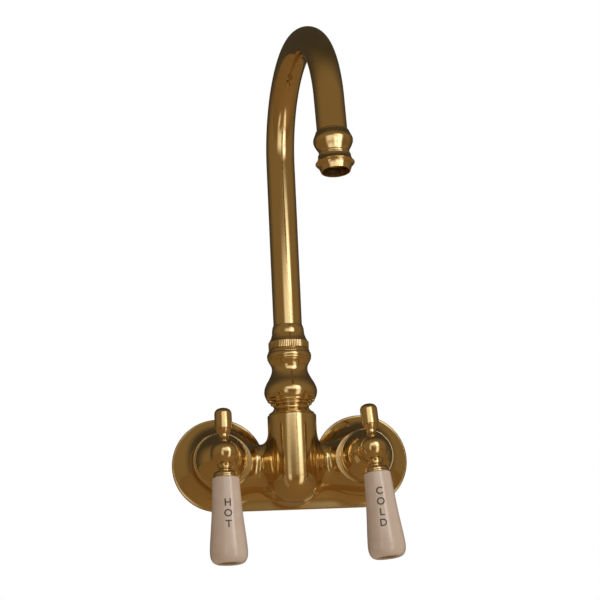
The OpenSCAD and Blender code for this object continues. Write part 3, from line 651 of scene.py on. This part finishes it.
def lock_nut(side):
    t = lock_nut_t
    corner_r = lock_nut_af / 2 / cos(radians(30))
    crown_r, mouth_r = 18.6, 14.1
    place = along_valve(side) @ shift(0, 0, -wall_t - back_washer_t - t)
    bm = bmesh.new()
    bmesh.ops.create_cone(bm, cap_ends=True, segments=6, radius1=corner_r, radius2=corner_r, depth=t,
                          matrix=turn(30, "Z") @ shift(0, 0, t / 2))
    crown = bmesh.new()
    lathe(crown, [(0, -0.5), (crown_r, -0.5), (crown_r, 0), (corner_r + 0.3, 1.8), (corner_r + 0.3, t - 1.8),
                  (crown_r, t), (crown_r, t + 0.5), (0, t + 0.5)], 96)
    hole = bmesh.new()
    lathe(hole, [(0, -1), (mouth_r, -1), (mouth_r, 0), (shank_r + thread_gap, 0.9),
                 (shank_r + thread_gap, t - 0.9), (mouth_r, t), (mouth_r, t + 1), (0, t + 1)], 96)
    for tool in (crown, hole):
        bmesh.ops.recalc_face_normals(tool, faces=tool.faces)
    bm = carved(bm, "lock_nut", (as_object(crown, "crown"), "INTERSECT"),
                (as_object(hole, "hole"), "DIFFERENCE"))
    finished(bm, f"{SIDES[side]}_hexagon_nut", "fixed_body", place, "bare_brass", f"{SIDES[side]}_lock_nut")


for side in SIDES:
    inlet_shank(side)
    washers(side)
    lock_nut(side)


# Bonnets

def bonnet(side):
    base = chamber_front
    # Thread, seat and base bead, the round dome, the collar, and the small bead at its top
    outside = ([(12.7, base - 2.8), (12.7, base), (15.6, base)]
               + curve((15.6, base), (15.7, base + 0.4), (15.6, base + 0.8), (15.3, base + 1.1))
               + curve((15.25, base + 1.2), (15.2, base + 2), (14.7, base + 5.3), (13.6, base + 8.6),
                       (12.0, base + 11.6), (10.1, base + 14.0), (8.5, base + 15.5), (7.7, base + 16.2))
               + curve((7.5, base + 16.4), (7.2, base + 16.8), (7.15, base + 17.6))
               + curve((7.15, bonnet_top - 2.1), (7.5, bonnet_top - 1.5), (7.5, bonnet_top - 0.8),
                       (7.2, bonnet_top - 0.2)))
    top = [(7.1, bonnet_top), (5.9, bonnet_top), (5.9, bonnet_room), (6.3, bonnet_room)]
    inside = curve((6.3, bonnet_room), (10.2, base + 11), (13.2, base + 5), (13.9, base + 2.3))
    turned(f"{SIDES[side]}_bonnet_dome", "fixed_body", along_valve(side),
           outside + top + inside + [(11.4, base + 1.3), (11.4, base - 2.8)], f"{SIDES[side]}_bonnet")


# Handles

def ball_hub(side):
    bm = bmesh.new()
    arc = [(ball_r * cos(radians(a)), ball_r * sin(radians(a))) for a in range(-60, 61, 3)]
    arc = [(ball_flat_r, -ball_flat)] + arc + [(ball_flat_r, ball_flat)]
    lathe(bm, [(0, -ball_flat)] + arc + [(0, ball_flat)], 96)
    bm.transform(shift(0, 0, hub_y) @ turn(90 - lever_lean, "X"))
    neck = [(0, bonnet_top + 0.3), (hub_neck_r, bonnet_top + 0.3), (hub_neck_r, 53.4)]
    neck += curve((hub_neck_r, 53.4), (5.72, 54.5), (6.1, 55.4), (6.7, 56.0)) + [(0, 57)]
    lathe(bm, neck, 96)
    finished(bm, f"{SIDES[side]}_ball_and_neck", f"{SIDES[side]}_handle", on_handle(side), "polished_brass",
             f"{SIDES[side]}_handle_hub")


def finial(side):
    # Foot in the ball, waist, flare, groove, barrel and domed top
    outline = ([(0, ball_flat - 0.4), (3.8, ball_flat - 0.4), (3.8, ball_flat + 0.1)]
               + curve((3.8, ball_flat + 0.1), (3.2, 8.2), (2.9, 9.4), (2.85, 10.6))
               + [(3.1, 10.8)] + curve((3.1, 10.8), (3.7, 11.8), (4.2, 12.8), (4.5, 13.4))
               + [(4.3, 13.6), (4.75, 13.8)] + curve((4.75, 13.8), (4.98, 14.0), (5.0, 14.4))
               + [(5.0, 22.2)]
               + curve((5.0, 22.2), (4.9, 23.3), (4.4, 24.4), (3.4, 25.3), (2.0, 25.85), (0, 26)))
    turned(f"{SIDES[side]}_domed_finial", f"{SIDES[side]}_handle", along_lever(side) @ turn(180, "X"),
           outline, f"{SIDES[side]}_finial", steps=96)


def ferrule(side):
    # Neck against the ball, groove, swelling foot and the step that carries the lever
    bore = 2.55
    outline = ([(bore, ball_flat - 0.4), (4.7, ball_flat - 0.4)]
               + curve((4.7, ball_flat - 0.4), (4.45, 7.6), (4.35, 8.4), (4.5, 9.3))
               + [(4.3, 9.6), (3.4, 9.9), (3.3, 10.3), (3.4, 10.8)]
               + curve((5.3, 11.0), (6.0, 11.25), (6.55, 11.8), (6.9, 12.6), (7.05, 13.5))
               + [(7.3, 13.9), (7.3, lever_start), (bore, lever_start)])
    turned(f"{SIDES[side]}_flared_ferrule", f"{SIDES[side]}_handle", along_lever(side), outline,
           f"{SIDES[side]}_ferrule", steps=96)


lever_skin = smooth((6.7, lever_start), (7.35, lever_start + 0.2), (7.7, lever_start + 0.7),
                    (7.8, lever_start + 1.4), (8.05, 20), (8.45, 28), (8.95, 36), (9.6, 43), (10.25, 49.5),
                    (10.7, 55), (10.75, 58.2), (10.3, 60.8), (9.2, 62.7), (7.8, 63.6), (6.9, lever_end))


def lever(side):
    seat = lever_end - recess_d
    recess = [(recess_r, lever_end), (recess_r, seat), (rod_room_r, seat), (rod_room_r, lever_start)]
    turned(f"{SIDES[side]}_glazed_lever", f"{SIDES[side]}_handle", along_lever(side), lever_skin + recess,
           f"{SIDES[side]}_porcelain_lever", edge=0.3)


def end_nut(side):
    seat = lever_end - recess_d
    bm = bmesh.new()
    lathe(bm, [(0, seat), (end_nut_r, seat), (end_nut_r, seat + 1.5)]
          + curve((end_nut_r, seat + 1.5), (4.9, seat + 2.1), (3.6, seat + 2.5), (0, seat + 2.6)), 96)
    bmesh.ops.recalc_face_normals(bm, faces=bm.faces)
    slot_room = bmesh.new()
    block(slot_room, (-6, -0.6, seat + 1.9), (6, 0.6, seat + 4))
    bm = carved(bm, "end_nut", (as_object(slot_room, "slot_room"), "DIFFERENCE"))
    finished(bm, f"{SIDES[side]}_domed_nut", f"{SIDES[side]}_handle", along_lever(side), "polished_brass",
             f"{SIDES[side]}_end_nut")


def letter_shape(letter):
    """One thin capital in millimetres, centred on the origin."""
    line = bpy.data.curves.new(letter, "FONT")
    # The font's capitals are 0.73 of its size high
    line.body, line.size, line.extrude, line.offset = letter, 1.37 * letter_h, 0.04, letter_swell
    made = bpy.data.objects.new(letter, line)
    bpy.context.scene.collection.objects.link(made)
    bm = bmesh.new()
    seen = made.evaluated_get(bpy.context.evaluated_depsgraph_get())
    bm.from_mesh(bpy.data.meshes.new_from_object(seen))
    bpy.data.objects.remove(made)
    across = [v.co.x for v in bm.verts]
    up = [v.co.y for v in bm.verts]
    bm.transform(shift(-(min(across) + max(across)) / 2, -(min(up) + max(up)) / 2, 0))
    # Cuts 0.35 mm apart let the letter bend round the lever
    for i in range(-5, 6):
        bmesh.ops.bisect_plane(bm, geom=list(bm.verts) + list(bm.edges) + list(bm.faces), dist=0.0001,
                               plane_co=(0.35 * i, 0, 0), plane_no=(1, 0, 0))
    return bm


def fired_word(side):
    """The word on a lever, one letter below another, wrapped round the glaze."""
    heights = [z for r, z in lever_skin]
    radii = [r for r, z in lever_skin]
    word = bpy.data.meshes.new("word")
    bm = bmesh.new()
    for number, letter in enumerate(words[side]):
        one = letter_shape(letter)
        for v in one.verts:
            z = word_start[side] + number * letter_pitch - v.co.y
            r = np.interp(z, heights, radii) + v.co.z
            angle = v.co.x / r + radians(word_turn[side])
            v.co = (r * sin(angle), r * cos(angle), z)
        one.to_mesh(word)
        one.free()
        bm.from_mesh(word)
    made = finished(bm, f"{SIDES[side]}_fired_word", f"{SIDES[side]}_handle", along_lever(side), "porcelain",
                    edge=0)
    made.data.materials[0] = ink


for side in SIDES:
    bonnet(side)
    ball_hub(side)
    finial(side)
    ferrule(side)
    lever(side)
    fired_word(side)
    end_nut(side)


# Baluster stem and knurled nut

# From below: thread, foot, neck, two beads, the belly, the waist, three rings, nut thread and bore
stem_outline = (
    [(5.6, 14.5), (9.4, 14.5), (9.4, column_top), (13.1, column_top)]
    + curve((13.1, column_top), (13.45, 25.9), (13.4, 26.5), (12.8, 27.0))
    + curve((12.6, 27.1), (11.5, 27.9), (10.6, 29.0), (10.4, 30.0), (10.7, 30.9))
    + [(11.2, 31.3)] + curve((11.2, 31.3), (12.0, 31.6), (12.25, 32.1), (12.1, 32.6))
    + [(12.5, 32.9)] + curve((12.5, 32.9), (13.4, 33.3), (13.95, 33.9), (14.0, 34.4))
    + curve((14.0, 34.5), (14.75, 35.7), (15.4, 37.4), (15.7, 39.3), (15.45, 41.3), (14.8, 43.2),
            (13.8, 45.2), (12.6, 47.2), (11.55, 49.3), (10.8, 51.3), (10.6, 53.0), (10.8, 54.6),
            (11.4, 56.0), (12.1, 57.2), (12.5, 58.0))
    + [(12.3, 58.2)] + curve((12.6, 58.3), (12.95, 58.9), (13.0, 59.5)) + [(12.7, 59.7)]
    + curve((13.0, 59.9), (13.15, 60.7), (13.0, 61.9), (12.75, 62.5)) + [(12.45, 62.75)]
    + curve((12.5, 63.0), (12.25, 63.6), (12.05, 64.5))
    + [(10.75, 64.5), (10.75, 69.1), (9.58, 69.1), (9.58, 65.1), (7.48, 65.1), (7.48, 48.1), (5.6, 48.1)])
turned("turned_baluster", "fixed_body", at_column, stem_outline, "baluster_stem", steps=160)


def knurled_nut():
    low, high, top = nut_z + 0.4, nut_z + 4.3, nut_z + nut_h - 0.3
    bm = bmesh.new()
    outline = ([(nut_thread_r, nut_z), (11.6, nut_z), (11.9, low - 0.1), (12.0, low), (12.0, high),
                (11.6, high + 0.3)]
               + curve((11.6, high + 0.3), (11.0, high + 1.4), (10.4, high + 2.6), (9.95, high + 3.9),
                       (9.65, high + 5), (9.57, high + 6.2), (9.47, high + 7.4), (9.25, high + 8.6),
                       (8.85, high + 9.9))
               + [(8.6, top), (8.58, top), (8.58, nut_thread_top), (nut_thread_r, nut_thread_top)])
    lathe(bm, outline + [outline[0]], steps=knurl_count * 4)
    for v in bm.verts:
        if low <= v.co.z <= high and v.co.xy.length > 11.6:
            depth = knurl_depth * (0.5 + 0.5 * cos(knurl_count * atan2(v.co.y, v.co.x)))
            v.co.xy *= 1 - depth / v.co.xy.length
    finished(bm, "knurled_spout_nut", "fixed_body", at_column, "polished_brass", "spout_nut", edge=0)


knurled_nut()


# Spout

def swan_neck():
    bm = bmesh.new()
    for r in (tube_r, tube_r - tube_wall):
        bmesh.ops.create_circle(bm, radius=r, segments=96, matrix=shift(0, 0, tube_start))
    wall = bmesh.ops.bridge_loops(bm, edges=bm.edges)["faces"]
    risen = bmesh.ops.extrude_face_region(bm, geom=wall, use_keep_orig=True)["geom"]
    bmesh.ops.translate(bm, verts=verts_of(risen), vec=(0, 0, bend_z - tube_start))
    bent = bmesh.ops.spin(bm, geom=faces_of(risen), cent=(0, -bend_r, bend_z), axis=(1, 0, 0),
                          dvec=(0, 0, 0), angle=bend_angle, steps=112, use_merge=False)["geom_last"]
    tip = bmesh.ops.extrude_face_region(bm, geom=faces_of(bent))["geom"]
    bmesh.ops.delete(bm, geom=faces_of(risen) + faces_of(bent), context="FACES")
    way = Matrix.Rotation(bend_angle, 4, "X") @ Vector((0, 0, tip_len + outlet_socket))
    bmesh.ops.translate(bm, verts=verts_of(tip), vec=way)
    finished(bm, "swan_neck_tube", "spout", on_spout, "polished_brass", "spout_tube", edge=0)


def outlet():
    # Socket, bulb, neck, two beads, flare, lip and mouth, then the bore from the mouth inwards
    outline = ([(8.54, 0), (9.0, 0)]
               + curve((9.0, 0), (9.4, 0.5), (9.6, 1.2), (10.2, 2.6), (10.85, 4.2), (11.05, 5.4),
                       (10.85, 6.8), (10.1, 8.6), (9.0, 10.6), (8.3, 12.2), (8.15, 13.0))
               + [(8.5, 13.1)] + curve((8.5, 13.1), (8.75, 13.5), (8.6, 14.0)) + [(8.7, 14.2)]
               + curve((8.7, 14.2), (9.15, 14.5), (9.1, 15.0)) + [(9.1, 15.1)]
               + curve((9.1, 15.1), (9.5, 16.6), (10.2, 18.1), (10.9, 18.9))
               + curve((10.9, 19.05), (9.9, 20.0), (9.1, 21.3), (8.6, 22.6), (8.3, 23.4))
               + [(8.2, outlet_len), (mouth_bore_r, outlet_len), (mouth_bore_r, 17.8), (7.0, 17.8),
                  (7.0, outlet_socket), (8.54, outlet_socket)])
    made = turned("turned_outlet", "spout", along_outlet @ shift(0, 0, tip_len), outline, "outlet_fitting")
    # The bore is left as it was machined
    made.data.materials.append(finish["bare_brass"])
    axis = along_outlet.inverted() @ Matrix.Scale(1 / MM, 4)
    for face in made.data.polygons:
        face.material_index = int((axis @ face.center).xy.length < mouth_bore_r + 0.05)


swan_neck()
outlet()


# Stage, light and camera

def metal_ray(tree):
    """The light path, and a value of 1 for what the metal or glass shows."""
    path = add(tree, "LightPath")
    return path, add(tree, "Math", {0: (path, "Is Glossy Ray"), 1: (path, "Is Transmission Ray")},
                     operation="MAXIMUM")


def floor():
    bm = bmesh.new()
    bmesh.ops.create_grid(bm, x_segments=1, y_segments=1, size=4, matrix=shift(0, 0, -0.65))
    made = as_object(bm, "floor")
    # Matt wall paint: a pale, even white without any shine
    material, tree, place, shader = new_material("matt_white_paint")
    two_tones(tree, place, 400, "#EAE8E4", "#F0EEEA", shader)
    shader.inputs["Roughness"].default_value = 0.8
    shader.inputs["Specular IOR Level"].default_value = 0.0
    # The metal sees the warm floor of the room instead
    tone = shader.inputs["Base Color"].links[0].from_node
    path, mirrored = metal_ray(tree)
    seen = add(tree, "Mix", {0: (mirrored, "Value"), 6: (tone, "Color"), 7: linear("#9B7F57")},
               data_type="RGBA")
    tree.links.new(seen.outputs[2], shader.inputs["Base Color"])
    made.data.materials.append(material)


def panel(name, place, width, height, radiance):
    """A panel in front of the object, which only the metal shows. Its sizes are in metres."""
    bm = bmesh.new()
    bmesh.ops.create_grid(bm, x_segments=1, y_segments=1, size=0.5,
                          matrix=turn(-90, "X") @ Matrix.Diagonal((width, height, 1, 1)))
    made = as_object(bm, name)
    made.location = place
    # Lit diffuser cloth: its glow fades out from the middle to the edges, where it is clear
    material = bpy.data.materials.new(f"{name}_diffuser_cloth")
    tree = bare_tree(material)
    where = add(tree, "TexCoord")
    split = add(tree, "SeparateXYZ", {"Vector": (where, "Object")})
    fades = []
    for across, half in (("X", width / 2), ("Z", height / 2)):
        far = add(tree, "Math", {0: (split, across)}, operation="ABSOLUTE")
        fades.append(add(tree, "MapRange", {"Value": (far, "Value"), "From Min": 0.2 * half, "From Max": half,
                                            "To Min": 1.0, "To Max": 0.0}, interpolation_type="SMOOTHSTEP"))
    both = add(tree, "Math", {0: (fades[0], "Result"), 1: (fades[1], "Result")}, operation="MULTIPLY")
    level = add(tree, "Math", {0: (both, "Value"), 1: radiance}, operation="MULTIPLY")
    glow = add(tree, "Emission", {"Strength": (level, "Value")})
    clear = add(tree, "BsdfTransparent")
    cloth = add(tree, "AddShader", {0: (glow, "Emission"), 1: (clear, "BSDF")})
    add(tree, "OutputMaterial", {"Surface": (cloth, "Shader")})
    made.data.materials.append(material)
    made.visible_camera = made.visible_diffuse = made.visible_shadow = False


def softbox(place, size, radiance):
    """A square lamp that faces the object. It lights the porcelain, and the metal doesn't show it."""
    light = bpy.data.lights.new("front_softbox", "AREA")
    light.shape, light.size = "SQUARE", size
    light.energy = radiance * pi * size * size
    made = bpy.data.objects.new("front_softbox", light)
    made.location = place
    towards = Vector((0, -0.06, 0.08)) - Vector(place)
    made.rotation_euler = towards.to_track_quat("-Z", "Y").to_euler()
    made.visible_camera = made.visible_glossy = False
    bpy.context.scene.collection.objects.link(made)


def surroundings():
    world = bpy.data.worlds.new("plain_studio")
    bpy.context.scene.world = world
    tree = bare_tree(world)
    way = add(tree, "TexCoord")
    split = add(tree, "SeparateXYZ", {"Vector": (way, "Generated")})
    upwards = add(tree, "Math", {0: (split, "Z"), 1: 0.0}, operation="MAXIMUM")
    # The metal shows a warm room that darkens upwards and behind the object, and a white backdrop
    steep = add(tree, "Math", {0: (upwards, "Value"), 1: 2.0}, operation="POWER")
    backwards = add(tree, "Math", {0: (split, "Y"), 1: (steep, "Value")}, operation="ADD")
    room = add(tree, "MapRange", {"Value": (backwards, "Value"), "From Min": -0.1, "From Max": 1.0,
                                  "To Min": 0.25, "To Max": 0.06}, interpolation_type="SMOOTHSTEP")
    behind = add(tree, "MapRange", {"Value": (split, "Y"), "From Min": 0.9955, "From Max": 0.998,
                                    "To Min": 0.0, "To Max": 1.0})
    seen = add(tree, "Math", {0: (room, "Result"), 1: (behind, "Result")}, operation="MAXIMUM")
    # Matt surfaces are lit by a ceiling and walls, which are darker on the left
    walls = add(tree, "MapRange", {"Value": (split, "X"), "From Min": -1.0, "From Max": 0.4, "To Min": 0.1,
                                   "To Max": 0.34})
    ceiling = add(tree, "Math", {0: (upwards, "Value"), 1: 0.55, 2: (walls, "Result")},
                  operation="MULTIPLY_ADD")
    # The camera sees plain white
    path, mirrored = metal_ray(tree)
    soft = add(tree, "Mix", {"Factor": (mirrored, "Value"), "A": (ceiling, "Value"), "B": (seen, "Value")})
    shown = add(tree, "Mix", {"Factor": (path, "Is Camera Ray"), "A": (soft, "Result"), "B": 1.0})
    # The room's colour by its level: dark brown, golden brown, then towards white
    tint = add(tree, "ValToRGB", {"Fac": (shown, "Result")})
    tones = tint.color_ramp.elements
    tones[0].color, tones[1].color = (0, 0, 0, 1), (1, 1, 1, 1)
    tones.new(0.07).color = (0.062, 0.05, 0.034, 1)
    tones.new(0.25).color = (0.235, 0.163, 0.08, 1)
    paint = add(tree, "Background", {"Color": (tint, "Color"), "Strength": 1.0})
    add(tree, "OutputWorld", {"Surface": (paint, "Background")})


def camera():
    """The camera that was solved from the photograph: its place in millimetres, and its angles."""
    eye = Vector((-125, -1300, -161))
    yaw, pitch, roll = 0.104, 0.197, -0.046
    focal_pixels, picture_pixels = 2190, 600
    data = bpy.data.cameras.new("camera")
    data.sensor_width = 36
    data.lens = focal_pixels / picture_pixels * data.sensor_width
    made = bpy.data.objects.new("camera", data)
    ahead = Vector((sin(yaw) * cos(pitch), cos(yaw) * cos(pitch), sin(pitch)))
    right = ahead.cross(Vector((0, 0, 1))).normalized()
    up = right.cross(ahead)
    side = right * cos(roll) + up * sin(roll)
    top = -right * sin(roll) + up * cos(roll)
    place = Matrix((side, top, -ahead)).transposed().to_4x4()
    place.translation = eye * MM
    made.matrix_world = place
    bpy.context.scene.collection.objects.link(made)
    bpy.context.scene.camera = made


floor()
panel("bright_panel", (0.13, -0.32, 0.13), 0.3, 0.28, 2.6)
panel("dim_panel", (-0.05, -0.32, 0.12), 0.3, 0.2, 0.9)
panel("low_right_panel", (0.17, -0.32, -0.085), 0.2, 0.5, 1.1)
panel("low_left_panel", (-0.14, -0.32, -0.02), 0.14, 0.3, 0.7)
softbox((0.9, -1.25, 0.55), 1.0, 2.5)
surroundings()
camera()
bpy.context.scene.view_settings.view_transform = "Standard"
